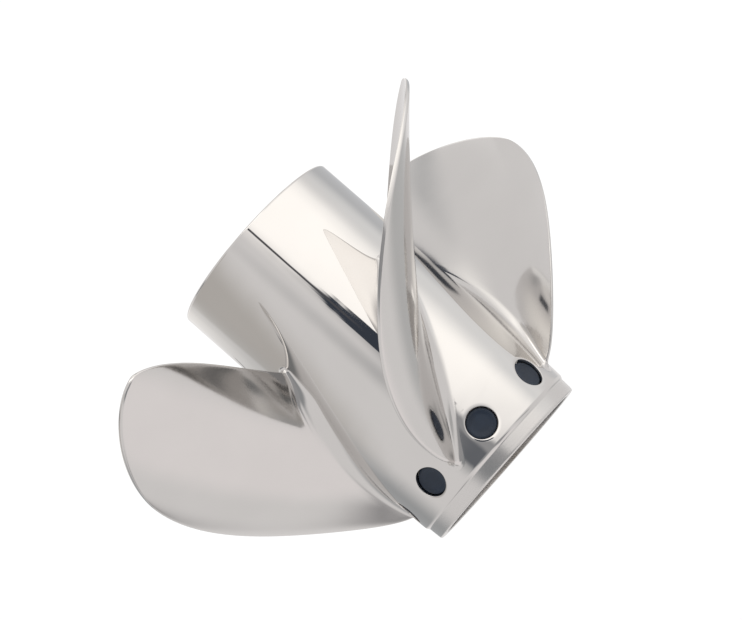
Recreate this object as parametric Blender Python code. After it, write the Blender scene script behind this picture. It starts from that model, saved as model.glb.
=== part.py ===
"""Four-blade cast stainless boat propeller with an exhaust passage through its hub.

Metres. The origin is the centre of the aft rim, and +Z runs to the forward end, so the
propeller stands on its aft rim. Looking from the aft end it drives a boat ahead when it
turns clockwise.
"""

import math

import bmesh
import bpy
from mathutils import Matrix, Vector

GAP = 0.0003

# Barrel, from the aft rim at z = 0 to the forward rim
BARREL_LENGTH = 0.1970
BARREL_RADIUS = 0.0603
BARREL_WALL = 0.0050
RIM_ROUND = 0.0012
TAPER_START = 0.150
TAPER_END = 0.186
TAPER_RADIUS = 0.0592
SHOULDER_LENGTH = 0.0024
COLLAR_RADIUS = 0.0580
FORWARD_RADIUS = 0.0575
BARREL_STEPS = 80
TAPER_STEPS = 4

# Exhaust vents near the forward end, and the plugs that close them
VENT_COUNT = 8
VENT_HEIGHT = 0.1725
VENT_RADIUS = 0.00925
VENT_FIRST_ANGLE = math.radians(-98.3)
PLUG_RECESS = 0.0025
PLUG_DEPTH = 0.0040
PLUG_SIDES = 32

# Blades. The pressure face is a raked screw surface, and the forward face stands off it by
# the thickness. Its pitch and its curve along the chord change by a share for each
# BLADE_REACH that the blade runs out from the barrel.
BLADE_COUNT = 4
BLADE_FIRST_ANGLE = math.radians(-95.2)
BLADE_MIDDLE_HEIGHT = 0.130
BLADE_REACH = 0.100
BLADE_PITCH = 0.681
PITCH_LOSS = 0.507
CHORD_CURVE = -0.222
CHORD_CURVE_GAIN = 0.968
RAKE = 0.0444
RAKE_POWER = 1.79
ROOT_THICKNESS = 0.0091
TIP_THICKNESS = 0.0026
EDGE_THICKNESS = 0.0020
SECTION_FULLNESS = 0.75
ROOT_FILLET = 0.0080
CHORD_STEPS = 20
SPAN_STEPS = 16
SPAN_CROWDING = 1.5
ROOT_CUTS = 7

# Blade outline as (degrees from the blade's middle line, radius in metres), each stretch a
# Bezier curve of two ends and two handles
TIP_RADIUS = 0.168
LEADING_EDGE = ((22.8, 0.0600), (23.9, 0.1027), (-2.5, 0.1496), (-17.3, 0.1613))
TIP_ARC = ((-17.3, 0.1613), (-27.7, 0.1690), (-42.0, 0.1728), (-46.4, 0.1552))
TRAILING_EDGE = ((-37.8, 0.0600), (-49.6, 0.0988), (-48.5, 0.1469), (-46.4, 0.1552))

# Inner hub, the ribs that carry it, and the drive parts in its bore
INNER_HUB_BOTTOM = 0.048
INNER_HUB_TOP = 0.189
INNER_HUB_RADIUS = 0.0395
INNER_HUB_STEPS = 64
BORE_WIDTH = 0.0580
BORE_CORNER = 0.0140
BORE_SEAT = 0.0700
SEAT_RADIUS = 0.0220
RIB_COUNT = 4
RIB_THICKNESS = 0.0050
RIB_FIRST_ANGLE = VENT_FIRST_ANGLE + math.pi / VENT_COUNT
SLEEVE_TOP = 0.186
SLEEVE_BORE = 0.0185
ADAPTER_BOTTOM = 0.0560
ADAPTER_TOP = 0.1885
ADAPTER_RADIUS = 0.0180
BORE_SIDES = 48
SPLINE_TEETH = 15
SPLINE_ROOT_RADIUS = 0.0132
SPLINE_TOOTH_RADIUS = 0.0118


def clear_scene():
    for obj in list(bpy.data.objects):
        bpy.data.objects.remove(obj, do_unlink=True)


def make_material(name, colour, roughness, metallic):
    material = bpy.data.materials.new(name)
    material.use_nodes = True
    shader = material.node_tree.nodes["Principled BSDF"]
    shader.inputs["Base Color"].default_value = (*colour, 1.0)
    shader.inputs["Roughness"].default_value = roughness
    shader.inputs["Metallic"].default_value = metallic
    return material


def make_object(name, bm, material):
    """Turn a bmesh into a named object that is smooth over its round faces."""
    mesh = bpy.data.meshes.new(name)
    bm.to_mesh(mesh)
    bm.free()
    mesh.shade_smooth()
    mesh.set_sharp_from_angle(angle=math.radians(35))
    obj = bpy.data.objects.new(name, mesh)
    bpy.context.collection.objects.link(obj)
    if material:
        mesh.materials.append(material)
    return obj


def turned_solid(name, profile, steps, material):
    """Turn a closed profile of (radius, height) about Z. It starts down its outer side."""
    bm = bmesh.new()
    corners = [bm.verts.new((radius, 0.0, height)) for radius, height in profile]
    for start, end in zip(corners, corners[1:] + corners[:1]):
        bm.edges.new((start, end))
    obj = make_object(name, bm, material)
    turn = obj.modifiers.new("Turn", "SCREW")
    turn.axis = "Z"
    turn.angle = 2 * math.pi
    turn.steps = steps
    turn.render_steps = steps
    turn.use_merge_vertices = True
    turn.merge_threshold = 0.00005
    turn.use_smooth_shade = True
    return obj


def cut_away(obj, cutter):
    cutter.hide_render = True
    cutter.display_type = "WIRE"
    boolean = obj.modifiers.new("Cut " + cutter.name, "BOOLEAN")
    boolean.operation = "DIFFERENCE"
    boolean.object = cutter


def around_axis(index, count, first_angle):
    return first_angle + 2 * math.pi * index / count


def barrel_radius(height):
    """Outer radius of the barrel: a plain cylinder with a slight taper near its front."""
    if height <= TAPER_START:
        return BARREL_RADIUS
    share = (height - TAPER_START) / (TAPER_END - TAPER_START)
    return BARREL_RADIUS - (BARREL_RADIUS - TAPER_RADIUS) * share**1.5


def barrel_profile():
    """Outer side from the forward rim down, then the bore from the aft rim up."""
    collar_bottom = TAPER_END + SHOULDER_LENGTH
    outside = [
        (FORWARD_RADIUS - RIM_ROUND, BARREL_LENGTH),
        (FORWARD_RADIUS, BARREL_LENGTH - RIM_ROUND),
        (COLLAR_RADIUS, collar_bottom),
        ((COLLAR_RADIUS + TAPER_RADIUS) / 2, TAPER_END + SHOULDER_LENGTH / 2),
    ]
    for step in range(TAPER_STEPS + 1):
        height = TAPER_END + (TAPER_START - TAPER_END) * step / TAPER_STEPS
        outside.append((barrel_radius(height), height))
    outside.append((BARREL_RADIUS, RIM_ROUND))
    outside.append((BARREL_RADIUS - RIM_ROUND, 0.0))
    inside = [
        (BARREL_RADIUS - BARREL_WALL, 0.0),
        (BARREL_RADIUS - BARREL_WALL, TAPER_START),
        (TAPER_RADIUS - BARREL_WALL, TAPER_END),
        (FORWARD_RADIUS - BARREL_WALL, BARREL_LENGTH),
    ]
    return outside + inside


def radial_cylinders(name, count, first_angle, height, radius, inner, outer, material):
    """Short cylinders that lie along the radius at a height, in one mesh."""
    bm = bmesh.new()
    for index in range(count):
        angle = around_axis(index, count, first_angle)
        place = (
            Matrix.Rotation(angle, 4, "Z")
            @ Matrix.Translation(((inner + outer) / 2, 0.0, height))
            @ Matrix.Rotation(math.pi / 2, 4, "Y")
        )
        bmesh.ops.create_cone(
            bm,
            cap_ends=True,
            segments=PLUG_SIDES,
            radius1=radius,
            radius2=radius,
            depth=outer - inner,
            matrix=place,
        )
    return make_object(name, bm, material)


def build_barrel(steel):
    barrel = turned_solid("hub_barrel", barrel_profile(), BARREL_STEPS, steel)
    cutter = radial_cylinders(
        "vent_cutter",
        VENT_COUNT,
        VENT_FIRST_ANGLE,
        VENT_HEIGHT,
        VENT_RADIUS,
        BARREL_RADIUS / 2,
        BARREL_RADIUS * 1.2,
        None,
    )
    cut_away(barrel, cutter)
    return barrel


def build_vent_plugs(plastic):
    outer = barrel_radius(VENT_HEIGHT) - PLUG_RECESS
    for index in range(VENT_COUNT):
        radial_cylinders(
            f"vent_plug_{index + 1}",
            1,
            around_axis(index, VENT_COUNT, VENT_FIRST_ANGLE),
            VENT_HEIGHT,
            VENT_RADIUS - GAP,
            outer - PLUG_DEPTH,
            outer,
            plastic,
        )


def bezier_at(curve, share):
    """Point of a flat Bezier curve at a share of its length parameter."""
    start, first, second, end = [Vector(point) for point in curve]
    rest = 1.0 - share
    return (
        start * rest**3
        + first * (3 * rest**2 * share)
        + second * (3 * rest * share**2)
        + end * share**3
    )


def blade_sheet_point(chord, span):
    """(angle, radius) on the blade, between the four curves that bound it.

    Chord runs from the leading edge at 0 to the trailing edge at 1, and span from the
    root at 0 to the tip arc at 1.
    """
    leading = bezier_at(LEADING_EDGE, span)
    trailing = bezier_at(TRAILING_EDGE, span)
    tip = bezier_at(TIP_ARC, chord)
    root_start = Vector(LEADING_EDGE[0])
    root_end = Vector(TRAILING_EDGE[0])
    root = root_start.lerp(root_end, chord)
    across = leading.lerp(trailing, chord)
    along = root.lerp(tip, span)
    tip_start = Vector(TIP_ARC[0])
    tip_end = Vector(TIP_ARC[3])
    corners = root_start.lerp(root_end, chord).lerp(tip_start.lerp(tip_end, chord), span)
    point = across + along - corners
    return math.radians(point.x), point.y


def blade_height(angle, radius):
    """Height of the pressure face: a raked screw surface."""
    reach = max(radius - BARREL_RADIUS, 0.0) / BLADE_REACH
    pitch = BLADE_PITCH * (1.0 - PITCH_LOSS * reach)
    curve = CHORD_CURVE + CHORD_CURVE_GAIN * reach
    screw = pitch / (2 * math.pi) * (angle - curve * angle**2)
    return BLADE_MIDDLE_HEIGHT - RAKE * reach**RAKE_POWER + screw


def section_thickness(chord, radius):
    """How far the forward face stands off the pressure face, beyond the edges' thickness."""
    share = (radius - BARREL_RADIUS) / (TIP_RADIUS - BARREL_RADIUS)
    share = min(max(share, 0.0), 1.0)
    thickest = ROOT_THICKNESS + (TIP_THICKNESS - ROOT_THICKNESS) * share
    crown = max(4 * chord * (1 - chord), 0.0) ** SECTION_FULLNESS
    return (thickest - EDGE_THICKNESS) * crown


def root_flare(radius):
    """How far the root fillet spreads the section outwards at a radius."""
    clear = ROOT_FILLET - max(radius - BARREL_RADIUS, 0.0)
    if clear <= 0.0:
        return 0.0
    return ROOT_FILLET - math.sqrt(ROOT_FILLET**2 - clear**2)


def blade_point(chord, span, side):
    """A point on the forward face (side 1) or the pressure face (side -1).

    The section at one radius is unrolled. Lead is its slope, across is measured square to
    it and along runs up it towards the leading edge.
    """
    angle, radius = blade_sheet_point(chord, span)
    radius = max(radius, BARREL_RADIUS)
    height = blade_height(angle, radius)
    lead = BLADE_PITCH / (2 * math.pi * radius)
    flare = min(root_flare(radius), ROOT_FILLET * 0.75)
    turn = math.pi * chord
    across = side * (EDGE_THICKNESS / 2 + flare * math.sin(turn))
    if side > 0:
        across += section_thickness(chord, radius)
    along = flare * math.cos(turn)
    slant = math.hypot(1.0, lead)
    angle += (along - across * lead) / slant / radius
    height += (across + along * lead) / slant
    return Vector((radius * math.cos(angle), radius * math.sin(angle), height))


def touches_barrel(vert):
    return math.hypot(vert.co.x, vert.co.y) < BARREL_RADIUS + GAP / 10


def seat_on_barrel(vert):
    """Move a point of the root in or out until it just clears the barrel."""
    away = Vector((vert.co.x, vert.co.y)).normalized()
    radius = barrel_radius(vert.co.z) + GAP
    vert.co.xy = away * radius


def blade_mesh():
    """Both skins of one blade, closed round its edges, from one grid."""
    bm = bmesh.new()
    bmesh.ops.create_grid(bm, x_segments=CHORD_STEPS, y_segments=SPAN_STEPS, size=1.0)
    pressure_side = list(bm.verts)
    made = bmesh.ops.extrude_face_region(bm, geom=bm.faces[:])
    forward_side = [item for item in made["geom"] if isinstance(item, bmesh.types.BMVert)]
    for side, verts in ((-1, pressure_side), (1, forward_side)):
        for vert in verts:
            chord = (1 + vert.co.x) / 2
            span = ((1 + vert.co.y) / 2) ** SPAN_CROWDING
            chord = (1 - math.cos(math.pi * chord)) / 2
            vert.co = blade_point(chord, span, side)
    lower = set(pressure_side)
    across = [
        edge
        for edge in bm.edges
        if all(touches_barrel(vert) for vert in edge.verts)
        and len(lower.intersection(edge.verts)) == 1
    ]
    bmesh.ops.subdivide_edges(bm, edges=across, cuts=ROOT_CUTS, use_grid_fill=True)
    for vert in bm.verts:
        if touches_barrel(vert):
            seat_on_barrel(vert)
    bmesh.ops.recalc_face_normals(bm, faces=bm.faces[:])
    return bm


def build_blades(steel):
    for index in range(BLADE_COUNT):
        blade = make_object(f"blade_{index + 1}", blade_mesh(), steel)
        angle = around_axis(index, BLADE_COUNT, BLADE_FIRST_ANGLE)
        blade.rotation_euler = (0.0, 0.0, angle)


def rounded_square_prism(name, width, corner, bottom, top, material):
    bm = bmesh.new()
    bmesh.ops.create_cube(bm, size=1.0)
    bmesh.ops.scale(bm, vec=(width, width, top - bottom), verts=bm.verts[:])
    bmesh.ops.translate(bm, vec=(0.0, 0.0, (top + bottom) / 2), verts=bm.verts[:])
    uprights = [edge for edge in bm.edges if abs(edge.verts[0].co.z - edge.verts[1].co.z) > 0.001]
    bmesh.ops.bevel(
        bm,
        geom=uprights,
        offset=corner,
        segments=5,
        profile=0.5,
        affect="EDGES",
        material=-1,
    )
    return make_object(name, bm, material)


def upright_cylinder(name, radius, bottom, top, sides, material):
    bm = bmesh.new()
    bmesh.ops.create_cone(
        bm,
        cap_ends=True,
        segments=sides,
        radius1=radius,
        radius2=radius,
        depth=top - bottom,
        matrix=Matrix.Translation((0.0, 0.0, (top + bottom) / 2)),
    )
    return make_object(name, bm, material)


def build_inner_hub(steel):
    """Tube whose square bore takes the drive sleeve, over a seat with a round hole."""
    profile = [
        (INNER_HUB_RADIUS, INNER_HUB_TOP),
        (INNER_HUB_RADIUS, INNER_HUB_BOTTOM),
        (SEAT_RADIUS, INNER_HUB_BOTTOM),
        (SEAT_RADIUS, INNER_HUB_TOP),
    ]
    hub = turned_solid("inner_hub", profile, INNER_HUB_STEPS, steel)
    cutter = rounded_square_prism(
        "bore_cutter", BORE_WIDTH, BORE_CORNER, BORE_SEAT, BARREL_LENGTH, None
    )
    cut_away(hub, cutter)


def build_ribs(steel):
    """Radial plates between the inner hub and the barrel."""
    inner = INNER_HUB_RADIUS + GAP
    outer = BARREL_RADIUS - BARREL_WALL - GAP
    for index in range(RIB_COUNT):
        bm = bmesh.new()
        bmesh.ops.create_cube(bm, size=1.0)
        size = (outer - inner, RIB_THICKNESS, TAPER_START - INNER_HUB_BOTTOM)
        bmesh.ops.scale(bm, vec=size, verts=bm.verts[:])
        middle = ((inner + outer) / 2, 0.0, (TAPER_START + INNER_HUB_BOTTOM) / 2)
        bmesh.ops.translate(bm, vec=middle, verts=bm.verts[:])
        rib = make_object(f"hub_rib_{index + 1}", bm, steel)
        rib.rotation_euler.z = around_axis(index, RIB_COUNT, RIB_FIRST_ANGLE)


def build_drive_sleeve(plastic):
    sleeve = rounded_square_prism(
        "drive_sleeve",
        BORE_WIDTH - 2 * GAP,
        BORE_CORNER,
        BORE_SEAT + GAP,
        SLEEVE_TOP,
        plastic,
    )
    bore = upright_cylinder(
        "sleeve_bore_cutter", SLEEVE_BORE, BORE_SEAT / 2, BARREL_LENGTH, BORE_SIDES, None
    )
    cut_away(sleeve, bore)


def spline_cutter():
    """Toothed prism that leaves the teeth of the spline standing in the adapter."""
    bm = bmesh.new()
    corners = []
    tooth = 2 * math.pi / SPLINE_TEETH
    for index in range(SPLINE_TEETH):
        for share, radius in (
            (0.00, SPLINE_TOOTH_RADIUS),
            (0.35, SPLINE_TOOTH_RADIUS),
            (0.50, SPLINE_ROOT_RADIUS),
            (0.85, SPLINE_ROOT_RADIUS),
        ):
            angle = tooth * (index + share)
            place = (radius * math.cos(angle), radius * math.sin(angle), BORE_SEAT / 2)
            corners.append(bm.verts.new(place))
    face = bm.faces.new(corners)
    made = bmesh.ops.extrude_face_region(bm, geom=[face])
    raised = [item for item in made["geom"] if isinstance(item, bmesh.types.BMVert)]
    bmesh.ops.translate(bm, vec=(0.0, 0.0, BARREL_LENGTH), verts=raised)
    bmesh.ops.recalc_face_normals(bm, faces=bm.faces[:])
    return make_object("spline_cutter", bm, None)


def build_spline_adapter(brass):
    adapter = upright_cylinder(
        "spline_adapter", ADAPTER_RADIUS, ADAPTER_BOTTOM, ADAPTER_TOP, BORE_SIDES, brass
    )
    cut_away(adapter, spline_cutter())


def main():
    clear_scene()
    steel = make_material("polished_stainless", (0.70, 0.69, 0.67), 0.16, 1.0)
    plastic = make_material("black_plastic", (0.02, 0.022, 0.026), 0.50, 0.0)
    brass = make_material("brass", (0.62, 0.45, 0.18), 0.32, 1.0)
    build_barrel(steel)
    build_blades(steel)
    build_inner_hub(steel)
    build_ribs(steel)
    build_vent_plugs(plastic)
    build_drive_sleeve(plastic)
    build_spline_adapter(brass)


main()
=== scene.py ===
"""Stainless boat propeller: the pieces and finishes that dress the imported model.

Metres. The shaft axis is Z, the aft rim lies at z = 0 and the vents are near the top.
"""

import math

import bmesh
import bpy
from bpy.props import FloatProperty, FloatVectorProperty, PointerProperty
from mathutils import Matrix, Vector


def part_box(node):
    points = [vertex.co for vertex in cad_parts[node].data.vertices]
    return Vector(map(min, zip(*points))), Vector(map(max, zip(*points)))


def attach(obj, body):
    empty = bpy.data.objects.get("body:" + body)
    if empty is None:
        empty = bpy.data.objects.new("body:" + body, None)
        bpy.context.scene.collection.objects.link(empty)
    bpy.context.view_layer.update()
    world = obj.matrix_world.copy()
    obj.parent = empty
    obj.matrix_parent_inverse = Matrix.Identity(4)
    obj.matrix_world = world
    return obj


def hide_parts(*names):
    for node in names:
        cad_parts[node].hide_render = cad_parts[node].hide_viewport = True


bl_info = {
    "name": "Boat propeller",
    "version": (1, 0, 0),
    "blender": (4, 5, 0),
    "location": "View3D > Sidebar > Propeller",
    "description": "Cast barrel, blades, hub and drive parts of a stainless boat propeller",
    "category": "Object",
}

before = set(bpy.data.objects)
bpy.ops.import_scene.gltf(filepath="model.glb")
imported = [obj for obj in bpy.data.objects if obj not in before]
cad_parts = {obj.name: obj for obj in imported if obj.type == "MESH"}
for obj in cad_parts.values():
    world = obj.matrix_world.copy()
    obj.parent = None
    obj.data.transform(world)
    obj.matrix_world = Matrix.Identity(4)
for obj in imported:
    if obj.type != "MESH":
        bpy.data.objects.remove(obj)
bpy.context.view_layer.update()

# Points closer than this are one point, in a piece and between the barrel's cells
WELD = 0.000002
CELL_WELD = 0.00001

# Barrel
BARREL_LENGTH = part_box("hub_barrel")[1][2]
BARREL_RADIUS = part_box("hub_barrel")[1][0]
BARREL_WALL = 0.0050
TAPER_START = 0.150
TAPER_END = 0.186
TAPER_RADIUS = 0.0592
TAPER_BEND = 1.5
COLLAR_BOTTOM = 0.1884
COLLAR_RADIUS = 0.0580
FORWARD_RADIUS = 0.0575
AFT_BORE_RADIUS = BARREL_RADIUS - BARREL_WALL
COLLAR_BORE_RADIUS = COLLAR_RADIUS - BARREL_WALL
FORWARD_BORE_RADIUS = FORWARD_RADIUS - BARREL_WALL
# A radius between the outer skin and the bore, at the aft end and at the forward end
IN_WALL_RADIUS = BARREL_RADIUS - BARREL_WALL * 0.6
RIM_ROUND = 0.0012
BORE_ROUND = 0.0005
RIM_STEPS = 5
SKIN_HEIGHTS = (0.156, 0.153, TAPER_START, 0.120, 0.090, 0.060, 0.030, 0.006, 0.0016)
BORE_HEIGHTS = (0.001, 0.005, 0.048, 0.100, TAPER_START)
NECK_HEIGHTS = (0.1858, TAPER_END, 0.1864, 0.1868, 0.1872, 0.1876, 0.1880)
COLLAR_ROWS = (
    (COLLAR_RADIUS - 0.00005, COLLAR_BOTTOM),
    (COLLAR_RADIUS - 0.0001, 0.1888),
    (FORWARD_RADIUS + 0.0001, 0.1950),
)
FORWARD_BORE_HEIGHTS = (0.1950, TAPER_END)

# Vents
VENT_COUNT = 8
VENT_HEIGHT = 0.1725
VENT_RADIUS = 0.00925
VENT_FIRST_ANGLE = math.radians(-98.3)
VENT_SIDES = 64
VENT_DISH = 0.0021
VENT_DISH_DEPTH = 0.00011
VENT_LIP = 0.0004
DISH_STEPS = 7
LIP_STEPS = 5
HOLE_DEPTHS = (0.30, 0.50, 0.88)
HOLE_BEVELS = ((0.0002, 0.96), (0.0006, 1.0))
CELL_HALF_HEIGHT = 0.0130
CELL_LOW = VENT_HEIGHT - CELL_HALF_HEIGHT
CELL_HIGH = VENT_HEIGHT + CELL_HALF_HEIGHT
CELL_SHARES = (0.0, 0.035, 0.11, 0.24, 0.45, 0.70, 1.0)

# Blades
BLADE_COUNT = 4
BLADE_FIRST_ANGLE = math.radians(-95.2)
BLADE_MIDDLE_HEIGHT = 0.130
BLADE_REACH = 0.100
BLADE_PITCH = 0.681
PITCH_LOSS = 0.507
CHORD_CURVE = -0.222
CHORD_CURVE_GAIN = 0.968
RAKE = 0.0444
RAKE_POWER = 1.79
TIP_RADIUS = 0.168
ROOT_THICKNESS = 0.0091
TIP_THICKNESS = 0.0026
EDGE_THICKNESS = 0.0020
SECTION_FULLNESS = 0.75
# Control points of the curves that bound the blade: degrees round the shaft, and radius
LEADING_EDGE = ((22.8, 0.0600), (23.9, 0.1027), (-2.5, 0.1496), (-17.3, 0.1613))
TIP_ARC = ((-17.3, 0.1613), (-27.7, 0.1690), (-42.0, 0.1728), (-46.4, 0.1552))
TRAILING_EDGE = ((-37.8, 0.0600), (-49.6, 0.0988), (-48.5, 0.1469), (-46.4, 0.1552))
# The root fillet is full size in the middle of the chord and shrinks to the share FILLET_END
# at both edges. It does so over these shares of the chord, where the leading edge has one
# for the forward face, 1, and one for the pressure face, -1
FILLET_LEAD = {1: 0.55, -1: 0.25}
FILLET_TRAIL = 0.22
FILLET_END = 0.45
FILLET_LIFT = 0.00001
FILLET_SPREAD = 1.12
FILLET_CROWDING = 1.4
# How far off the barrel a blade still follows its taper
TAPER_REACH = 0.008
# The root is looked for below this span, and the tip is measured over the last step of it
ROOT_SPAN = 0.6
SEARCH_STEPS = 30
TIP_STEP = 0.02
BLADE_SIDES = 192
FILLET_ROWS = 14
SPAN_ROWS = 44
TIP_ROWS = 5

# Inner hub and its ribs
HUB_SIDES = 128
HUB_SEAT = 0.0700
HUB_HOLE = 0.0220
POCKET_HALF = 0.0290
POCKET_CORNER = 0.0140
RIB_COUNT = 4
RIB_HALF = 0.0025
RIB_FILLET = 0.0035
RIB_FILLET_STEPS = 6
RIB_END_FLARE = 0.0008
RIB_OVERLAP = 0.0002
RIB_FLAT = 0.0003
RIB_CORNER_POINTS = 8

# Vent plugs: rows of (radius, how far the point stands out from the plug's face)
PLUG_SIDES = 48
PLUG_RECESS = 0.0025
PLUG_ROWS = (
    (0.0020, -0.0004),
    (0.0045, -0.0004),
    (0.0066, -0.0003),
    (0.0070, -0.0001),
    (0.0073, 0.0),
    (0.0083, 0.0),
    (0.0087, -0.0002),
    (0.0089, -0.0006),
    (0.0089, -0.0020),
    (0.0089, -0.0036),
    (0.0086, -0.0040),
    (0.0060, -0.0040),
)

# Drive sleeve and spline adapter
SLEEVE_SIDES = 96
SLEEVE_CORNER = 0.0140
SLEEVE_BORE = 0.0185
SLEEVE_STEP = 0.0015
SLEEVE_MIDDLE = 0.130
ADAPTER_BEVEL = 0.0012
TOOTH_COUNT = 15
TOOTH_SHAPE = (1.0, 1.0, 1.0, 0.55, 0.0, 0.0, 0.0, 0.55)
TOOTH_TOP = 0.0118
TOOTH_ROOT = 0.0132
TOOTH_BEVEL = 0.0006

# Finishes: scales of the patterns per metre, and heights of the relief in millimetres
MILLIMETRE = 0.001
STREAK_SCALE = (70.0, 70.0, 1900.0)
STREAK_HEIGHT = 0.0009
CLOUD_SCALE = 24.0
CLOUD_TONES = (0.3, 0.7)
CLOUD_DULLNESS = 0.8
CLOUD_DULL = (0.45, 0.75)
WAVE_SCALE = 46.0
STEEL_SHADE = 0.975
STEEL_ROUGHNESS_LIMITS = (0.01, 0.9)
RING_SCALE = (16.0, 16.0, 3600.0)
RING_HEIGHT = 0.012
TURNED_ROUGHNESS = 0.20
TURNED_SPREAD = 0.16
GRAIN_SCALE = 900.0
GRAIN_HEIGHT = 0.03
CAST_ROUGHNESS = 0.40
CAST_SPREAD = 0.1
# Heights between which the cast finish of the straight bore fades out, and the width of the
# step from one finish to the next
CAST_FADE = (0.16, 0.17)
FINISH_EDGE = 0.0003
PLASTIC_GRAIN_SCALE = 2400.0
PLASTIC_GRAIN_STRENGTH = 0.25
PLASTIC_GRAIN_HEIGHT = 0.0001
PLASTIC_CLOUD_SCALE = 90.0
PLASTIC_SHADE = 1.5
PLASTIC_SPREAD = 0.12
PLASTIC_SPECULAR = 0.45

# Camera
CAMERA_PLACE = Vector((-0.015062, -1.344809, 0.230738))
CAMERA_AHEAD = Vector((0.0, 0.993582, -0.113117)).normalized()
CAMERA_RIGHT = CAMERA_AHEAD.cross(Vector((-0.751736, -0.074596, -0.655231))).normalized()
CAMERA_UP = CAMERA_RIGHT.cross(CAMERA_AHEAD)
CAMERA_LENS = 112.0
CAMERA_SENSOR = 36.0
CAMERA_CLIP = 0.05

# Floor and backdrop
FLOOR_SIDES = 64
FLOOR_RADIUS = 6.0
FLOOR_GLOW = 1.02
BACKDROP_COLOUR = (1.02, 1.02, 1.02)

# Studio cards, as a camera at the middle of the propeller would see them when it looks back
# at the photograph's camera: name, centre and half size in degrees, turn, softness, colour
CARDS = (
    ("wall behind on the left", (-80.2, 116.3), (53.1, 19.4), 46, 1.1, (1.24, 1.23, 1.22)),
    ("wall behind on the right", (92.0, 120.0), (34.0, 29.0), 8, 4.5, (0.64, 0.65, 0.67)),
    ("far right gap", (136.0, 0.0), (18.0, 30.0), 0, 10.0, (0.60, 0.60, 0.60)),
    ("right floor", (62.0, -52.0), (34.0, 32.0), -45, 12.0, (0.98, 0.94, 0.94)),
    ("upper left panel", (-29.2, 44.7), (20.7, 9.2), 15, 2.5, (2.05, 2.00, 1.94)),
    ("main panel", (21.7, 47.6), (45.0, 15.3), 38, 12.3, (1.55, 1.51, 1.46)),
    ("high left panel", (-38.0, 70.0), (9.0, 15.0), 0, 7.0, (1.02, 1.00, 0.98)),
    ("high panel", (-13.2, 76.3), (28.0, 8.9), 22, 21.5, (1.66, 1.62, 1.56)),
    ("right wall", (60.9, 76.5), (9.9, 23.9), -21, 11.9, (0.97, 0.97, 0.97)),
    ("front gap", (-0.3, -19.0), (23.0, 12.8), -8, 8.2, (0.35, 0.36, 0.37)),
    ("camera gap", (17.6, -5.9), (30.5, 10.3), -16, 3.5, (0.39, 0.39, 0.40)),
    ("low gap", (-13.0, -10.0), (11.5, 3.6), 49, 3.4, (0.17, 0.18, 0.20)),
    ("camera", (-3.6, 12.3), (7.2, 2.85), 49, 0.35, (0.05, 0.06, 0.08)),
    ("camera hood", (-5.4, 12.7), (4.8, 1.65), 49, 0.35, (0.05, 0.06, 0.08)),
    ("camera lens", (-6.0, 12.9), (2.5, 1.4), 49, 0.5, (0.05, 0.06, 0.08)),
    ("camera strap", (-7.3, 14.9), (1.1, 2.2), 49, 0.5, (0.10, 0.10, 0.11)),
    ("left post", (-61.8, -43.7), (6.6, 44.5), -31, 3.6, (0.60, 0.575, 0.55)),
    ("left gap", (-89.1, -34.4), (17.8, 13.2), -56, 5.0, (0.28, 0.29, 0.30)),
    ("far left gap", (-69.4, -128.3), (35.7, 44.0), 56, 21.5, (0.43, 0.44, 0.45)),
    ("right post", (60.0, 14.0), (15.0, 5.0), -6, 4.0, (0.52, 0.52, 0.52)),
    ("low post", (16.2, -93.7), (1.7, 25.6), -10, 13.2, (0.02, 0.02, 0.03)),
    ("far left wall", (-110.4, -82.8), (10.1, 17.7), -33, 21.5, (1.42, 1.39, 1.34)),
    ("top light", (-42.0, 114.0), (20.0, 6.0), 0, 4.0, (1.16, 1.14, 1.12)),
    ("top gap", (-63.0, 97.5), (13.0, 4.5), 0, 6.0, (0.62, 0.62, 0.625)),
    ("top slot", (-28.7, 99.3), (8.0, 4.8), 16, 0.8, (0.06, 0.07, 0.09)),
)
TENT_COLOUR = (0.865, 0.847, 0.845)


# Meshes


def draw_out(bm, edges):
    """Extrude a loop of edges. The new points and edges still lie on the old ones."""
    made = bmesh.ops.extrude_edge_only(bm, edges=edges)["geom"]
    verts = {item for item in made if isinstance(item, bmesh.types.BMVert)}
    loop = [
        item
        for item in made
        if isinstance(item, bmesh.types.BMEdge) and verts.issuperset(item.verts)
    ]
    return verts, loop


def ring_loft(sides, rings, place):
    """A tube of rings. It starts as a flat disc of rings, and place() seats each point."""
    bm = bmesh.new()
    bmesh.ops.create_circle(bm, segments=sides, radius=1.0)
    edges = bm.edges[:]
    for ring in range(1, rings):
        verts, edges = draw_out(bm, edges)
        bmesh.ops.scale(bm, vec=((ring + 1) / ring,) * 3, verts=list(verts))
    for vert in bm.verts:
        ring = round(vert.co.length) - 1
        step = round(math.atan2(vert.co.y, vert.co.x) / (2 * math.pi) * sides) % sides
        vert.co = place(ring, step)
    return bm


def close_ends(bm):
    """Fill the open ends of a tube."""
    bmesh.ops.holes_fill(bm, edges=[edge for edge in bm.edges if edge.is_boundary], sides=0)


def around(angle, radius, height):
    """The point at this angle round the shaft axis."""
    return Vector((radius * math.cos(angle), radius * math.sin(angle), height))


def turn_round(bm, verts, angle):
    """Turn points round the shaft axis."""
    bmesh.ops.rotate(bm, verts=verts, matrix=Matrix.Rotation(angle, 3, "Z"))


def finish_mesh(bm, weld=WELD):
    """Weld what meets and point every face outwards."""
    bmesh.ops.remove_doubles(bm, verts=bm.verts[:], dist=weld)
    bmesh.ops.recalc_face_normals(bm, faces=bm.faces[:])


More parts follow.
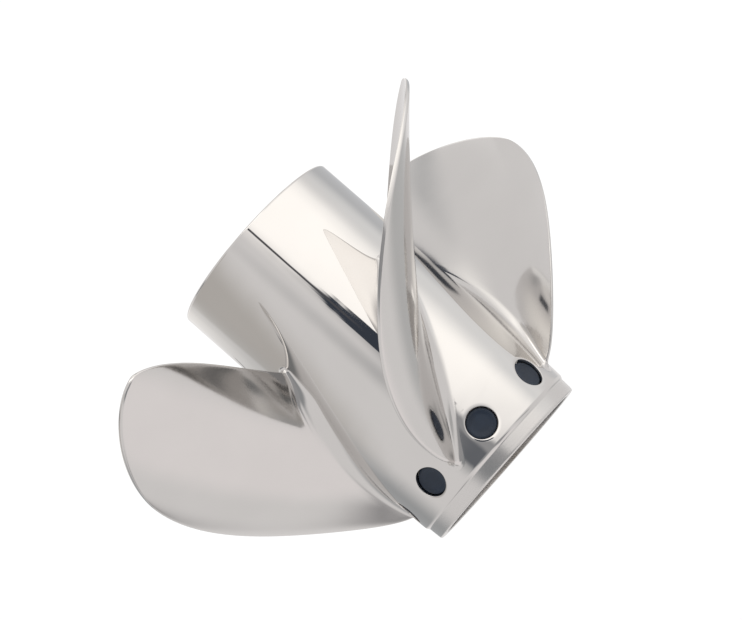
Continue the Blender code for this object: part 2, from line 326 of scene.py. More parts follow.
def add_piece(name, bm, material, slot, *nodes, sharp=None):
    """Make the piece, let it ride on the part and stand in for its solids."""
    mesh = bpy.data.meshes.new(name)
    bm.to_mesh(mesh)
    bm.free()
    mesh.shade_smooth()
    if sharp:
        mesh.set_sharp_from_angle(angle=math.radians(sharp))
    mesh.materials.append(material)
    piece = bpy.data.objects.new(name, mesh)
    bpy.context.scene.collection.objects.link(piece)
    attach(piece, "root")
    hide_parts(*nodes)
    return piece


# Finishes


class Maths:
    """A number socket that can be used in sums."""

    def __init__(self, nodes, socket):
        self.nodes = nodes
        self.socket = socket

    def join(self, operation, first, second):
        return self.nodes.number("Math", 0, {0: first, 1: second}, operation=operation)

    def __add__(self, other):
        return self.join("ADD", self, other)

    def __radd__(self, other):
        return self.join("ADD", other, self)

    def __sub__(self, other):
        return self.join("SUBTRACT", self, other)

    def __rsub__(self, other):
        return self.join("SUBTRACT", other, self)

    def __mul__(self, other):
        return self.join("MULTIPLY", self, other)

    def __rmul__(self, other):
        return self.join("MULTIPLY", other, self)

    def __truediv__(self, other):
        return self.join("DIVIDE", self, other)

    def clamped(self, low=0.0, high=1.0):
        return self.join("MAXIMUM", self.join("MINIMUM", self, high), low)

    def smooth(self, low, high):
        """0 below low and 1 above high, with a soft step between."""
        inputs = {"Value": self, "From Min": low, "From Max": high}
        return self.nodes.number("MapRange", 0, inputs, interpolation_type="SMOOTHSTEP")


class Nodes:
    """The nodes of one finish or light."""

    def __init__(self, tree):
        self.tree = tree

    def fill(self, node, inputs):
        """Give a node its inputs. A socket is linked, and any other value is set."""
        for name, value in inputs.items():
            value = getattr(value, "socket", value)
            if isinstance(value, bpy.types.NodeSocket):
                self.tree.links.new(value, node.inputs[name])
            else:
                node.inputs[name].default_value = value

    def make(self, kind, inputs=None, **settings):
        node = self.tree.nodes.new("ShaderNode" + kind)
        for name, value in settings.items():
            setattr(node, name, value)
        self.fill(node, inputs or {})
        return node

    def number(self, kind, output, inputs=None, **settings):
        """A node whose output is used in sums."""
        return Maths(self, self.make(kind, inputs, **settings).outputs[output])

    def function(self, operation, value):
        """A Math node of one input."""
        return self.number("Math", 0, {0: value}, operation=operation)

    def position(self):
        return self.make("TexCoord").outputs["Object"]

    def stretched(self, vector, scale, turn=(0.0, 0.0, 0.0)):
        made = self.make("Mapping", {"Vector": vector, "Rotation": turn, "Scale": scale})
        return made.outputs["Vector"]

    def noise(self, vector, scale, detail=2.0):
        inputs = {"Vector": vector, "Scale": scale, "Detail": detail}
        return self.number("TexNoise", "Fac", inputs)

    def blend(self, share, first, second):
        """Mix two colours. A Mix node's colour sockets are only told apart by number."""
        made = self.make("Mix", {0: share, 6: first, 7: second}, data_type="RGBA")
        return made.outputs[2]

    def bump(self, height, strength, distance):
        """Relief of this height times the distance."""
        inputs = {"Height": height, "Strength": strength, "Distance": distance}
        return self.make("Bump", inputs).outputs["Normal"]


def new_finish(name):
    """A new material with its nodes and its shader."""
    material = bpy.data.materials.new(name)
    material.use_nodes = True
    nodes = Nodes(material.node_tree)
    return material, nodes, material.node_tree.nodes["Principled BSDF"]


def opaque(colour, shade=1.0):
    """The colour, times a shade, as a node wants it."""
    return (*[part * shade for part in colour], 1.0)


def steel_finish(name, colour, roughness, lines, waves, barrel=False):
    """Polished metal: fine lines round the shaft axis and the waves of hand polishing.

    The barrel's collar is left as turned, with rings and less shine, and its bore as cast.
    """
    material, nodes, shader = new_finish(name)
    place = nodes.position()
    streak = nodes.noise(nodes.stretched(place, STREAK_SCALE), 1.0, 3.0)
    cloud = nodes.noise(place, CLOUD_SCALE, 3.0)
    wave = nodes.noise(place, WAVE_SCALE, 1.0)
    tone = nodes.blend(cloud.smooth(*CLOUD_TONES), opaque(colour, STEEL_SHADE), opaque(colour))
    dull = lines * CLOUD_DULLNESS * cloud.smooth(*CLOUD_DULL)
    rough = roughness + lines * (streak - 0.5) + dull
    height = waves * wave + STREAK_HEIGHT * lines * streak
    if barrel:
        turned, cast = unpolished(nodes, place)
        ring = nodes.noise(nodes.stretched(place, RING_SCALE), 1.0)
        grain = nodes.noise(place, GRAIN_SCALE)
        turned_change = TURNED_ROUGHNESS - roughness + TURNED_SPREAD * (ring - 0.5)
        cast_change = CAST_ROUGHNESS - roughness + CAST_SPREAD * (grain - 0.5)
        cast_change = cast_change - turned * TURNED_ROUGHNESS
        rough = rough + turned * turned_change + cast * cast_change
        height = height + turned * RING_HEIGHT * ring + cast * GRAIN_HEIGHT * grain
    look = {
        "Base Color": tone,
        "Metallic": 1.0,
        "Roughness": rough.clamped(*STEEL_ROUGHNESS_LIMITS),
        "Normal": nodes.bump(height, 1.0, MILLIMETRE),
    }
    nodes.fill(shader, look)
    return material


def unpolished(nodes, place):
    """Shares of the barrel's two other finishes: the turned collar and the cast bore."""
    up = nodes.number("SeparateXYZ", "Z", {0: place})
    flat = nodes.stretched(place, (1.0, 1.0, 0.0))
    out = nodes.number("VectorMath", "Value", {0: flat}, operation="LENGTH")
    turned = up.smooth(COLLAR_BOTTOM - FINISH_EDGE, COLLAR_BOTTOM)
    cast = 1.0 - out.smooth(COLLAR_BORE_RADIUS, COLLAR_BORE_RADIUS + FINISH_EDGE)
    straight = 1.0 - out.smooth(AFT_BORE_RADIUS, AFT_BORE_RADIUS + FINISH_EDGE)
    cast = cast + (1.0 - up.smooth(*CAST_FADE)) * straight
    return turned, cast.clamped()


def plastic_finish(name, colour, roughness):
    """Moulded plastic with a fine grain, a little uneven in colour and shine."""
    material, nodes, shader = new_finish(name)
    place = nodes.position()
    grain = nodes.noise(place, PLASTIC_GRAIN_SCALE)
    cloud = nodes.noise(place, PLASTIC_CLOUD_SCALE)
    tone = nodes.blend(cloud.smooth(*CLOUD_TONES), opaque(colour), opaque(colour, PLASTIC_SHADE))
    look = {
        "Base Color": tone,
        "Roughness": roughness + PLASTIC_SPREAD * (cloud - 0.5),
        "Specular IOR Level": PLASTIC_SPECULAR,
        "Normal": nodes.bump(grain, PLASTIC_GRAIN_STRENGTH, PLASTIC_GRAIN_HEIGHT),
    }
    nodes.fill(shader, look)
    return material


# Shape of the casting


def barrel_radius(height):
    """Outer radius of the barrel."""
    if height <= TAPER_START:
        return BARREL_RADIUS
    if height <= TAPER_END:
        share = (height - TAPER_START) / (TAPER_END - TAPER_START)
        return BARREL_RADIUS - (BARREL_RADIUS - TAPER_RADIUS) * share**TAPER_BEND
    share = min((height - TAPER_END) / (COLLAR_BOTTOM - TAPER_END), 1.0)
    return TAPER_RADIUS - (TAPER_RADIUS - COLLAR_RADIUS) * share**TAPER_BEND


def bore_radius(height):
    """Radius of the barrel's bore."""
    stops = (
        (0.0, AFT_BORE_RADIUS),
        (TAPER_START, AFT_BORE_RADIUS),
        (TAPER_END, TAPER_RADIUS - BARREL_WALL),
        (BARREL_LENGTH, FORWARD_BORE_RADIUS),
    )
    for (low, first), (high, second) in zip(stops, stops[1:]):
        if height <= high:
            return first + (second - first) * (height - low) / (high - low)
    return stops[-1][1]


def vent_rows():
    """Rows of one vent cell, from the outer cell's rim, through the hole, to the bore.

    Each is (share of the way from the hole to the cell's rim, hole radius, depth from the
    outer skin as a share of the wall). The polishing wheel has dished the edge of the hole.
    """
    lip = VENT_RADIUS + VENT_LIP
    dish = VENT_DISH - VENT_LIP
    rows = [(share, VENT_RADIUS + VENT_DISH, 0.0) for share in reversed(CELL_SHARES)]
    for step in range(1, DISH_STEPS + 1):
        share = step / DISH_STEPS
        depth = VENT_DISH_DEPTH * share**2 / BARREL_WALL
        rows.append((0.0, lip + dish * (1 - share), depth))
    start = math.atan(2 * VENT_DISH_DEPTH / dish)
    for step in range(1, LIP_STEPS + 1):
        turn = start + (math.pi / 2 - start) * step / LIP_STEPS
        in_from_lip = VENT_LIP * (math.sin(turn) - math.sin(start)) / (1 - math.sin(start))
        drop = VENT_LIP * (math.cos(start) - math.cos(turn)) + VENT_DISH_DEPTH
        rows.append((0.0, lip - in_from_lip, drop / BARREL_WALL))
    rows += [(0.0, VENT_RADIUS, depth) for depth in HOLE_DEPTHS]
    (bevel_start, bevel_depth), (bevel_end, wall) = HOLE_BEVELS
    rows.append((0.0, VENT_RADIUS + bevel_start, bevel_depth))
    rows += [(share, VENT_RADIUS + bevel_end, wall) for share in CELL_SHARES]
    return rows


def vent_point(row, step):
    """A point of the cell round the vent that lies at angle 0."""
    share, radius, depth = row
    turn = 2 * math.pi * step / VENT_SIDES
    across = radius * math.cos(turn)
    up = radius * math.sin(turn)
    cell_x, cell_y = square_edge(turn)
    height = VENT_HEIGHT + up + share * (cell_y * CELL_HALF_HEIGHT - up)
    skin = barrel_radius(height) + depth * (bore_radius(height) - barrel_radius(height))
    hole_angle = math.asin(across / skin)
    angle = hole_angle + share * (cell_x * math.pi / VENT_COUNT - hole_angle)
    return around(angle, skin, height)


def square_edge(turn):
    """Where evenly spread points come to lie on the edge of a square of half width 1."""
    bend = turn % (math.pi / 2)
    share = min(bend, math.pi / 2 - bend) / (math.pi / 4)
    across = math.cos(turn)
    up = math.sin(turn)
    if abs(across) >= abs(up):
        return math.copysign(1.0, across), math.copysign(share, up)
    return math.copysign(share, across), math.copysign(1.0, up)


def rounded_rim(radius, height, size, inward, upward):
    """Rows (radius, height) of a rounded edge that ends a wall and turns onto a rim."""
    rows = []
    for step in range(RIM_STEPS + 1):
        turn = math.pi / 2 * step / RIM_STEPS
        across = size * (1 - math.cos(turn)) * inward
        back = size * (1 - math.sin(turn)) * upward
        rows.append((radius - across, height - back))
    return rows


def grow_loop(bm, low, high, inner, rows):
    """Draw the open edge between two heights, outside a radius, along (radius, height)."""
    edges = []
    for edge in bm.edges:
        middle = (edge.verts[0].co + edge.verts[1].co) / 2
        radius = math.hypot(middle.x, middle.y)
        if edge.is_boundary and low < middle.z < high and radius > inner:
            edges.append(edge)
    for radius, height in rows:
        verts, edges = draw_out(bm, edges)
        for vert in verts:
            vert.co = around(math.atan2(vert.co.y, vert.co.x), radius, height)


def wall_rows(radius_at, *heights):
    """Rows (radius, height) along a wall."""
    return [(radius_at(height), height) for height in heights]


def build_vent_cells():
    """The ring of eight cells, each with a vent."""
    rows = vent_rows()
    bm = ring_loft(VENT_SIDES, len(rows), lambda ring, step: vent_point(rows[ring], step))
    turn_round(bm, bm.verts[:], VENT_FIRST_ANGLE)
    cell = bm.verts[:] + bm.edges[:] + bm.faces[:]
    for index in range(1, VENT_COUNT):
        made = bmesh.ops.duplicate(bm, geom=cell)["geom"]
        verts = [item for item in made if isinstance(item, bmesh.types.BMVert)]
        turn_round(bm, verts, 2 * math.pi * index / VENT_COUNT)
    bmesh.ops.remove_doubles(bm, verts=bm.verts[:], dist=CELL_WELD)
    return bm


def build_barrel_casting():
    """The barrel: the ring of cells, drawn out to the aft rim and the forward rim."""
    bm = build_vent_cells()
    down = wall_rows(barrel_radius, *SKIN_HEIGHTS)
    down += rounded_rim(BARREL_RADIUS, 0.0, RIM_ROUND, 1, -1)
    down += reversed(rounded_rim(AFT_BORE_RADIUS, 0.0, BORE_ROUND, -1, -1))
    down += wall_rows(bore_radius, *BORE_HEIGHTS, CELL_LOW)
    grow_loop(bm, 0.0, VENT_HEIGHT, IN_WALL_RADIUS, down)
    up = wall_rows(barrel_radius, *NECK_HEIGHTS)
    up += COLLAR_ROWS
    up += rounded_rim(FORWARD_RADIUS, BARREL_LENGTH, RIM_ROUND, 1, 1)
    up += reversed(rounded_rim(FORWARD_BORE_RADIUS, BARREL_LENGTH, BORE_ROUND, -1, 1))
    up += wall_rows(bore_radius, *FORWARD_BORE_HEIGHTS, CELL_HIGH)
    grow_loop(bm, VENT_HEIGHT, BARREL_LENGTH, IN_WALL_RADIUS, up)
    finish_mesh(bm, CELL_WELD)
    return bm


# Blades


def bezier_at(curve, share):
    """The point at this share of the way along a curve of four control points."""
    start, first, second, end = [Vector(point) for point in curve]
    rest = 1.0 - share
    return (
        start * rest**3
        + first * (3 * rest**2 * share)
        + second * (3 * rest * share**2)
        + end * share**3
    )


def blade_sheet_point(chord, span):
    """(angle, radius) between the four curves that bound the blade.

    Chord runs from the leading edge at 0 to the trailing edge at 1, and span from the
    root at 0 to the tip at 1.
    """
    leading = bezier_at(LEADING_EDGE, span)
    trailing = bezier_at(TRAILING_EDGE, span)
    tip = bezier_at(TIP_ARC, chord)
    root_start = Vector(LEADING_EDGE[0])
    root_end = Vector(TRAILING_EDGE[0])
    across = leading.lerp(trailing, chord)
    along = root_start.lerp(root_end, chord).lerp(tip, span)
    tip_flat = Vector(TIP_ARC[0]).lerp(Vector(TIP_ARC[3]), chord)
    corners = root_start.lerp(root_end, chord).lerp(tip_flat, span)
    point = across + along - corners
    return math.radians(point.x), point.y


def blade_height(angle, radius):
    """Height of the pressure face: a raked screw surface."""
    reach = max(radius - BARREL_RADIUS, 0.0) / BLADE_REACH
    pitch = BLADE_PITCH * (1.0 - PITCH_LOSS * reach)
    curve = CHORD_CURVE + CHORD_CURVE_GAIN * reach
    screw = pitch / (2 * math.pi) * (angle - curve * angle**2)
    return BLADE_MIDDLE_HEIGHT - RAKE * reach**RAKE_POWER + screw


def section_thickness(chord, radius):
    """How far the forward face stands off the pressure face, beyond the edges' thickness."""
    share = (radius - BARREL_RADIUS) / (TIP_RADIUS - BARREL_RADIUS)
    share = min(max(share, 0.0), 1.0)
    thickest = ROOT_THICKNESS + (TIP_THICKNESS - ROOT_THICKNESS) * share
    crown = max(4 * chord * (1 - chord), 0.0) ** SECTION_FULLNESS
    return (thickest - EDGE_THICKNESS) * crown


def blade_stations():
    """(chord, side) of the points round a blade's section, crowded at both its edges."""
    half = BLADE_SIDES // 2
    found = []
    for step in range(half):
        found.append(((1 - math.cos(math.pi * step / half)) / 2, 1))
    for step in range(half):
        found.append(((1 + math.cos(math.pi * step / half)) / 2, -1))
    return found


def span_at(chord, radius):
    """The span at which the blade's sheet reaches a radius."""
    low = 0.0
    high = ROOT_SPAN
    for _ in range(SEARCH_STEPS):
        span = (low + high) / 2
        if blade_sheet_point(chord, span)[1] < radius:
            low = span
        else:
            high = span
    return low


def sheet_place(chord, span):
    """The same point of the blade's sheet in space, on the pressure face."""
    angle, radius = blade_sheet_point(chord, span)
    return around(angle, radius, blade_height(angle, radius))


def skin_point(chord, span, side, chord_length, fade=1.0):
    """(distance round, height, radius) of a point on a blade's face, unrolled."""
    angle, radius = blade_sheet_point(chord, span)
    edge = EDGE_THICKNESS / 2
    near = min(min(chord, 1 - chord) * chord_length / edge, 1.0)
    off = side * edge * math.sqrt(1 - (1 - near) ** 2) * fade
    if side > 0:
        off += section_thickness(chord, radius) * fade
    lead = BLADE_PITCH / (2 * math.pi * radius)
    slant = math.hypot(1.0, lead)
    return (
        angle * radius - off * lead / slant,
        blade_height(angle, radius) + off / slant,
        radius,
    )


def roll_up(across, height, radius, clearance):
    """Back from the unrolled section to space. Near the barrel it follows the taper."""
    drop = BARREL_RADIUS - barrel_radius(height)
    fade = max(1 - clearance / TAPER_REACH, 0.0)
    return around(across / radius, radius - drop * fade, height)


def fillet_size(fillet, chord, side):
    """Radius of the root fillet: full on the faces, small round both edges of the blade."""
    near = min(chord / FILLET_LEAD[side], (1 - chord) / FILLET_TRAIL, 1.0)
    near = near * near * (3 - 2 * near)
    return fillet * (FILLET_END + (1 - FILLET_END) * near)


def fillet_row(stations, fillets, turn, spread=1.0):
    """A ring of the root fillet: turn is 0 on the barrel and a right angle on the blade."""
    off = [size * (1 - math.cos(turn)) + FILLET_LIFT for size in fillets]
    spans = [
        span_at(chord, BARREL_RADIUS + clearance)
        for (chord, _), clearance in zip(stations, off)
    ]
    chord_length = (sheet_place(0.0, spans[0]) - sheet_place(1.0, spans[len(spans) // 2])).length
    flat = [
        skin_point(chord, span, side, chord_length)
        for (chord, side), span in zip(stations, spans)
    ]
    ring = []
    for index, (across, height, radius) in enumerate(flat):
        before = flat[index - 1]
        after = flat[(index + 1) % len(flat)]
        run = Vector((after[0] - before[0], after[1] - before[1])).normalized()
        flare = fillets[index] * (spread - math.sin(turn))
        ring.append(
            roll_up(across + run.y * flare, height - run.x * flare, radius, off[index])
        )
    return ring


def blade_rows(fillet):
    """Every ring of a blade, from the apron on the barrel out to the tip."""
    stations = blade_stations()
    fillets = [fillet_size(fillet, chord, side) for chord, side in stations]
    rows = [fillet_row(stations, fillets, 0.0, FILLET_SPREAD)]
    for step in range(FILLET_ROWS):
        turn = math.pi / 2 * (step / FILLET_ROWS) ** FILLET_CROWDING
        rows.append(fillet_row(stations, fillets, turn))
    starts = [
        span_at(chord, BARREL_RADIUS + size + FILLET_LIFT)
        for (chord, _), size in zip(stations, fillets)
    ]
    edge = EDGE_THICKNESS / 2
    for step in range(SPAN_ROWS + TIP_ROWS + 1):
        if step < SPAN_ROWS:
            share, fade, back = step / SPAN_ROWS, 1.0, edge
        else:
            turn = math.pi / 2 * (1 - (step - SPAN_ROWS) / TIP_ROWS)
            share, fade, back = 1.0, math.sin(turn), edge * (1 - math.cos(turn))
        ring = []
        middle = starts[0] + (1 - starts[0]) * share
        chord_length = (sheet_place(0.0, middle) - sheet_place(1.0, middle)).length
        for (chord, side), start in zip(stations, starts):
            tip_run = sheet_place(chord, 1.0) - sheet_place(chord, 1.0 - TIP_STEP)
            end = 1.0 - back / (tip_run.length / TIP_STEP)
            span = start + (end - start) * share
            across, height, radius = skin_point(chord, span, side, chord_length, fade)
            ring.append(roll_up(across, height, radius, radius - BARREL_RADIUS))
        rows.append(ring)
    return rows


def build_blade_casting(rows, index):
    """One blade, turned to its place."""
    bm = ring_loft(BLADE_SIDES, len(rows), lambda ring, step: rows[ring][step])
    turn_round(bm, bm.verts[:], BLADE_FIRST_ANGLE + 2 * math.pi * index / BLADE_COUNT)
    finish_mesh(bm)
    return bm


# Hub and drive parts


def square_radius(turn, half, corner):
    """How far a rounded square reaches at an angle. A corner as wide as it is makes a circle."""
    bend = turn % (math.pi / 2)
    bend = min(bend, math.pi / 2 - bend)
    flat = half - corner
    if half * math.tan(bend) <= flat:
        return half / math.cos(bend)
    reach = flat * (math.cos(bend) + math.sin(bend))
    return reach + math.sqrt(corner**2 - (flat * (math.cos(bend) - math.sin(bend))) ** 2)


def square_loft(sides, rows):
    """A closed ring of rounded squares, rows of (half width, corner radius, height)."""

    def place(ring, step):
        half, corner, height = rows[ring]
        turn = 2 * math.pi * step / sides
        return around(turn, square_radius(turn, half, corner), height)

    bm = ring_loft(sides, len(rows), place)
    finish_mesh(bm)
    return bm


def edge_rows(half, corner, height, size, inward, upward):
    """Rows of a rounded edge on a square loft."""
    return [
        (width, max(corner - (half - width), 0.0) if corner < half else width, level)
        for width, level in rounded_rim(half, height, size, inward, upward)
    ]


def round_rows(*rows):
    """Rows of a square loft that are round, from (radius, height)."""
    return [(radius, radius, height) for radius, height in rows]


def build_inner_hub():
    """A tube with a square pocket for the sleeve, which sits on a seat with a round hole."""
    low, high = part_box("inner_hub")
    outer, bottom, top = high[0], low[2], high[2]
    seat, hole, half, corner = HUB_SEAT, HUB_HOLE, POCKET_HALF, POCKET_CORNER
    rows = edge_rows(outer, outer, top, 0.0012, 1, 1)[::-1]
    rows += round_rows((outer, 0.150), (outer, 0.100))
    rows += edge_rows(outer, outer, bottom, 0.0016, 1, -1)
    rows += edge_rows(hole, hole, bottom, 0.0012, -1, -1)[::-1]
    rows += round_rows((hole, 0.060), (hole, seat - 0.0006), (hole + 0.0006, seat))
    rows += [(half - 0.001, corner - 0.001, seat), (half, corner, seat + 0.001)]
    rows += [(half, corner, 0.130)]
    rows += edge_rows(half, corner, top, 0.0010, -1, 1)
    rows += [rows[0]]
    return square_loft(HUB_SIDES, rows)


def build_rib(index):
    """A plate on a radius, with a fillet at both its ends."""
    low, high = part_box("hub_rib_1")
    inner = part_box("inner_hub")[1][0] - RIB_OVERLAP
    outer = AFT_BORE_RADIUS + RIB_OVERLAP
    middle = (low[2] + high[2]) / 2
    reach = (high[2] - low[2]) / 2
    rows = []
    for step in range(RIB_FILLET_STEPS + 1):
        turn = math.pi / 2 * step / RIB_FILLET_STEPS
        radius = inner + RIB_FILLET * (1 - math.cos(turn))
        rows.append((radius, RIB_FILLET * (1 - math.sin(turn))))
    rows += [(outer - (radius - inner), flare) for radius, flare in reversed(rows)]

    def place(ring, step):
        radius, flare = rows[ring]
        quarter, part = divmod(step, RIB_CORNER_POINTS)
        turn = math.pi / 2 * (quarter + part / (RIB_CORNER_POINTS - 1))
        diagonal = math.pi / 4 + quarter * math.pi / 2
        side = math.copysign(1.0, math.cos(diagonal))
        level = math.copysign(1.0, math.sin(diagonal))
        across = side * RIB_FLAT + (RIB_HALF + flare - RIB_FLAT) * math.cos(turn)
        round_end = RIB_HALF + min(flare, RIB_END_FLARE)
        up = level * (reach - RIB_HALF) + round_end * math.sin(turn)
        return Vector((math.sqrt(max(radius**2 - across**2, 0.0)), across, middle + up))

    bm = ring_loft(4 * RIB_CORNER_POINTS, len(rows), place)
    close_ends(bm)
    between_vents = VENT_FIRST_ANGLE + math.pi / VENT_COUNT
    turn_round(bm, bm.verts[:], between_vents + 2 * math.pi * index / RIB_COUNT)
    finish_mesh(bm)
    return bm


def build_vent_plug(index):
    """A moulded plug: a dished face inside a raised ring, with a skirt in the vent."""
    face = barrel_radius(VENT_HEIGHT) - PLUG_RECESS

    def place(ring, step):
        radius, out = PLUG_ROWS[ring]
        turn = 2 * math.pi * step / PLUG_SIDES
        return Vector((face + out, radius * math.cos(turn), VENT_HEIGHT + radius * math.sin(turn)))

    bm = ring_loft(PLUG_SIDES, len(PLUG_ROWS), place)
    close_ends(bm)
    turn_round(bm, bm.verts[:], VENT_FIRST_ANGLE + 2 * math.pi * index / VENT_COUNT)
    finish_mesh(bm)
    return bm


def build_drive_sleeve():
    """A moulded rounded square with a round bore and a low step round its mouth."""
    low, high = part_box("drive_sleeve")
    half, bottom, top = high[0], low[2], high[2]
    corner, bore, step = SLEEVE_CORNER, SLEEVE_BORE, top - SLEEVE_STEP
    rows = edge_rows(half, corner, top, 0.0015, 1, 1)[::-1]
    rows += [(half, corner, SLEEVE_MIDDLE)]
    rows += edge_rows(half, corner, bottom, 0.0010, 1, -1)
    rows += edge_rows(bore, bore, bottom, 0.0010, -1, -1)[::-1]
    rows += round_rows((bore, SLEEVE_MIDDLE))
    rows += edge_rows(bore, bore, step, 0.0010, -1, 1)
    rows += round_rows((0.0225, step), (0.0228, top - 0.0013))
    rows += round_rows((0.0229, top - 0.0003), (0.0232, top))
    rows += [rows[0]]
    return square_loft(SLEEVE_SIDES, rows)


def build_spline_adapter():
    """A turned sleeve with spline teeth in its bore and bevelled ends."""
    low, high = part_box("spline_adapter")
    outer, bottom, top = high[0], low[2], high[2]
    middle = (bottom + top) / 2
    bevel = ADAPTER_BEVEL
    sides = TOOTH_COUNT * len(TOOTH_SHAPE)
    rows = [
        ("bore", 0.5, top - bevel),
        ("bore", 1.0, top),
        ("turned", outer - bevel, top),
        ("turned", outer, top - bevel),
        ("turned", outer, middle),
        ("turned", outer, bottom + bevel),
        ("turned", outer - bevel, bottom),
        ("bore", 1.0, bottom),
        ("bore", 0.0, bottom + bevel),
        ("bore", 0.0, middle),
        ("bore", 0.0, top - 2 * bevel),
        ("bore", 0.5, top - bevel),
    ]

    def place(ring, step):
        """In the bore, a row's size is how far the bevel has cut its teeth away."""
        kind, size, height = rows[ring]
        radius = size
        if kind == "bore":
            stand = TOOTH_SHAPE[step % len(TOOTH_SHAPE)] * (1 - size)
            radius = TOOTH_ROOT + TOOTH_BEVEL * size - (TOOTH_ROOT - TOOTH_TOP) * stand
        return around(2 * math.pi * step / sides, radius, height)

    bm = ring_loft(sides, len(rows), place)
    finish_mesh(bm)
    return bm


# Settings


class PropellerCasting(bpy.types.PropertyGroup):
    fillet: FloatProperty(
        name="Blade fillet",
        description="Radius of the fillet between a blade and the barrel",
        default=0.0090,
        unit="LENGTH",
        subtype="DISTANCE",
    )


class PropellerFinish(bpy.types.PropertyGroup):
    steel: FloatVectorProperty(
        name="Steel",
        description="Colour of the polished casting",
        default=(0.66, 0.645, 0.63),
        size=3,
        subtype="COLOR",
    )
    barrel_roughness: FloatProperty(
        name="Barrel roughness",
        description="How soft the barrel's reflections are",
        default=0.02,
        subtype="FACTOR",
    )
    blade_roughness: FloatProperty(
        name="Blade roughness",
        description="How soft the blades' reflections are",
        default=0.10,
        subtype="FACTOR",
    )
    plastic: FloatVectorProperty(
        name="Plastic",
        description="Colour of the plugs and the drive sleeve",
        default=(0.006, 0.014, 0.029),
        size=3,
        subtype="COLOR",
    )
    brass: FloatVectorProperty(
        name="Brass",
        description="Colour of the spline adapter",
        default=(0.50, 0.38, 0.21),
        size=3,
        subtype="COLOR",
    )


class PropellerStudio(bpy.types.PropertyGroup):
    floor: FloatVectorProperty(
        name="Floor",
        description="Colour of the floor",
        default=(1.0, 1.0, 1.0),
        size=3,
        subtype="COLOR",
    )


# Pieces


class PROPELLER_OT_barrel(bpy.types.Operator):
    """Cast the barrel with its vents and rims"""

    bl_idname = "propeller.barrel"
    bl_label = "Barrel"

    def execute(self, context):
        finish = context.scene.propeller_finish
        rough = finish.barrel_roughness
        steel = steel_finish(
            "barrel_steel", finish.steel, rough, lines=0.02, waves=0.060, barrel=True
        )
        bm = build_barrel_casting()
        add_piece("barrel_casting", bm, steel, "polished_stainless", "hub_barrel")
        return {"FINISHED"}


class PROPELLER_OT_blades(bpy.types.Operator):
    """Cast the four blades with their root fillets"""

    bl_idname = "propeller.blades"
    bl_label = "Blades"

    def execute(self, context):
        finish = context.scene.propeller_finish
        rough = finish.blade_roughness
        steel = steel_finish("blade_steel", finish.steel, rough, lines=0.04, waves=0.050)
        rows = blade_rows(context.scene.propeller_casting.fillet)
        for index in range(BLADE_COUNT):
            name = f"blade_casting_{index + 1}"
            node = f"blade_{index + 1}"
            bm = build_blade_casting(rows, index)
            add_piece(name, bm, steel, "polished_stainless", node)
        return {"FINISHED"}


class PROPELLER_OT_inner_hub(bpy.types.Operator):
    """Cast the inner hub and the ribs that carry it"""

    bl_idname = "propeller.inner_hub"
    bl_label = "Inner hub"

    def execute(self, context):
        finish = context.scene.propeller_finish
        steel = steel_finish("hub_steel", finish.steel, 0.28, lines=0.10, waves=0.060)
        slot = "polished_stainless"
        add_piece("hub_casting", build_inner_hub(), steel, slot, "inner_hub", sharp=40)
        for index in range(RIB_COUNT):
            node = f"hub_rib_{index + 1}"
            add_piece(f"rib_casting_{index + 1}", build_rib(index), steel, slot, node)
        return {"FINISHED"}


class PROPELLER_OT_vent_plugs(bpy.types.Operator):
    """Mould the eight vent plugs"""

    bl_idname = "propeller.vent_plugs"
    bl_label = "Vent plugs"

    def execute(self, context):
        plastic = plastic_finish("plug_plastic", context.scene.propeller_finish.plastic, 0.45)
        for index in range(VENT_COUNT):
            node = f"vent_plug_{index + 1}"
            name = f"plug_moulding_{index + 1}"
            add_piece(name, build_vent_plug(index), plastic, "black_plastic", node, sharp=50)
        return {"FINISHED"}


class PROPELLER_OT_drive_parts(bpy.types.Operator):
    """Make the drive sleeve and the splined adapter in it"""

    bl_idname = "propeller.drive_parts"
    bl_label = "Drive parts"

    def execute(self, context):
        finish = context.scene.propeller_finish
        plastic = plastic_finish("sleeve_plastic", finish.plastic, 0.5)
        brass = steel_finish("turned_brass", finish.brass, 0.26, lines=0.12, waves=0.010)
        sleeve = build_drive_sleeve()
        adapter = build_spline_adapter()
        add_piece("sleeve_moulding", sleeve, plastic, "black_plastic", "drive_sleeve", sharp=40)
        add_piece("adapter_turning", adapter, brass, "brass", "spline_adapter", sharp=35)
        return {"FINISHED"}


class PROPELLER_OT_studio(bpy.types.Operator):
    """Set up the floor, the light and the camera"""

    bl_idname = "propeller.studio"
    bl_label = "Studio"

    def execute(self, context):
        scene = context.scene
        scene.view_settings.view_transform = "Standard"
        add_floor(scene)
        add_light(scene)
        add_camera(scene)
        return {"FINISHED"}


def add_floor(scene):
    """A white floor that glows evenly, like a light table. The metal doesn't mirror it."""
    bm = bmesh.new()
    bmesh.ops.create_circle(bm, cap_ends=True, segments=FLOOR_SIDES, radius=FLOOR_RADIUS)
    mesh = bpy.data.meshes.new("floor")
    bm.to_mesh(mesh)
    bm.free()
    floor = bpy.data.objects.new("floor", mesh)
    scene.collection.objects.link(floor)
    floor.visible_glossy = False
    material, nodes, shader = new_finish("floor_paint")
    look = {
        "Base Color": (0.0, 0.0, 0.0, 1.0),
        "Roughness": 1.0,
        "Emission Color": opaque(scene.propeller_studio.floor),
        "Emission Strength": FLOOR_GLOW,
    }
    nodes.fill(shader, look)
    mesh.materials.append(material)


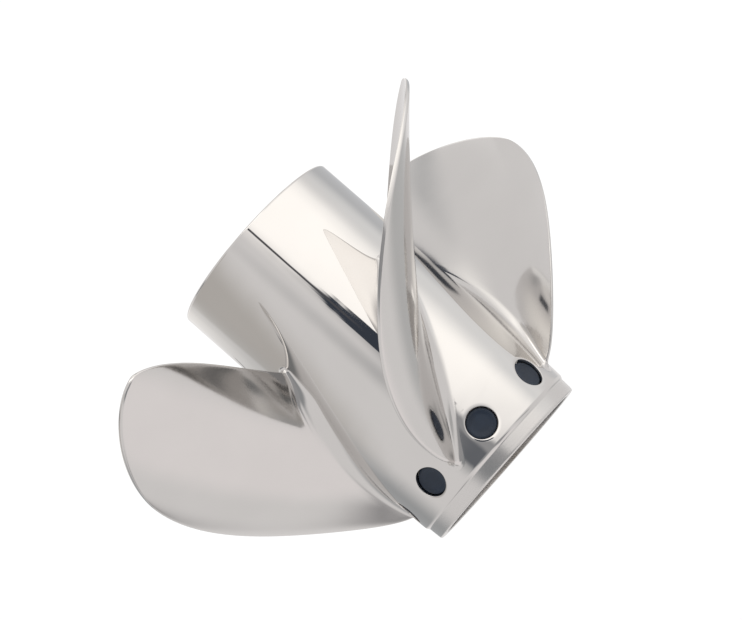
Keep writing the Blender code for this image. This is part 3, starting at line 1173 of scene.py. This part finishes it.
def tent_colour(nodes):
    """Colour of the studio in each direction: a white tent with soft panels and dark gaps."""
    toward = nodes.make("TexCoord").outputs["Generated"]
    parts = [
        nodes.number("VectorMath", "Value", {0: toward, 1: axis}, operation="DOT_PRODUCT")
        for axis in (CAMERA_RIGHT, CAMERA_UP, -CAMERA_AHEAD)
    ]
    across, up, back = [part.clamped(-1.0, 1.0) for part in parts]
    angle = nodes.function("ARCCOSINE", back) * math.degrees(1.0)
    spread = angle / (nodes.function("SQRT", 1.00001 - back * back))
    east = across * spread
    north = up * spread
    colour = opaque(TENT_COLOUR)
    for _, centre, half, turn, soft, shade in CARDS:
        cosine, sine = math.cos(math.radians(turn)), math.sin(math.radians(turn))
        along = east * cosine + north * sine - (centre[0] * cosine + centre[1] * sine)
        aside = north * cosine - east * sine - (centre[1] * cosine - centre[0] * sine)
        mask = (half[0] - nodes.function("ABSOLUTE", along)).smooth(-soft, soft)
        mask = mask * (half[1] - nodes.function("ABSOLUTE", aside)).smooth(-soft, soft)
        colour = nodes.blend(mask, colour, opaque(shade))
    return colour


def add_light(scene):
    """The tent lights the metal. The camera sees an even backdrop in its place."""
    world = bpy.data.worlds.new("studio")
    world.use_nodes = True
    nodes = Nodes(world.node_tree)
    seen = nodes.make("LightPath").outputs["Is Camera Ray"]
    colour = nodes.blend(seen, tent_colour(nodes), opaque(BACKDROP_COLOUR))
    nodes.fill(world.node_tree.nodes["Background"], {"Color": colour})
    scene.world = world


def add_camera(scene):
    """The camera at the photograph's viewing angle. It's rolled, as the photograph is."""
    data = bpy.data.cameras.new("camera")
    data.lens = CAMERA_LENS
    data.sensor_width = CAMERA_SENSOR
    data.clip_start = CAMERA_CLIP
    camera = bpy.data.objects.new("camera", data)
    turn = Matrix((CAMERA_RIGHT, CAMERA_UP, -CAMERA_AHEAD)).transposed().to_4x4()
    camera.matrix_world = Matrix.Translation(CAMERA_PLACE) @ turn
    scene.collection.objects.link(camera)
    scene.camera = camera


class PROPELLER_PT_panel(bpy.types.Panel):
    bl_label = "Boat propeller"
    bl_idname = "PROPELLER_PT_panel"
    bl_space_type = "VIEW_3D"
    bl_region_type = "UI"
    bl_category = "Propeller"

    def draw(self, context):
        layout = self.layout
        for settings, _ in SETTINGS:
            group = getattr(context.scene, settings)
            column = layout.column()
            for name in group.bl_rna.properties.keys():
                if name not in ("rna_type", "name"):
                    column.prop(group, name)
        for operator in OPERATORS:
            layout.operator(operator.bl_idname)


OPERATORS = (
    PROPELLER_OT_barrel,
    PROPELLER_OT_blades,
    PROPELLER_OT_inner_hub,
    PROPELLER_OT_vent_plugs,
    PROPELLER_OT_drive_parts,
    PROPELLER_OT_studio,
)
SETTINGS = (
    ("propeller_casting", PropellerCasting),
    ("propeller_finish", PropellerFinish),
    ("propeller_studio", PropellerStudio),
)


def register():
    for name, group in SETTINGS:
        bpy.utils.register_class(group)
        setattr(bpy.types.Scene, name, PointerProperty(type=group))
    for operator in OPERATORS:
        bpy.utils.register_class(operator)
    bpy.utils.register_class(PROPELLER_PT_panel)


def unregister():
    bpy.utils.unregister_class(PROPELLER_PT_panel)
    for operator in reversed(OPERATORS):
        bpy.utils.unregister_class(operator)
    for name, group in reversed(SETTINGS):
        delattr(bpy.types.Scene, name)
        bpy.utils.unregister_class(group)


def main():
    register()
    bpy.ops.propeller.barrel()
    bpy.ops.propeller.blades()
    bpy.ops.propeller.inner_hub()
    bpy.ops.propeller.vent_plugs()
    bpy.ops.propeller.drive_parts()
    bpy.ops.propeller.studio()


if __name__ == "__main__":
    main()
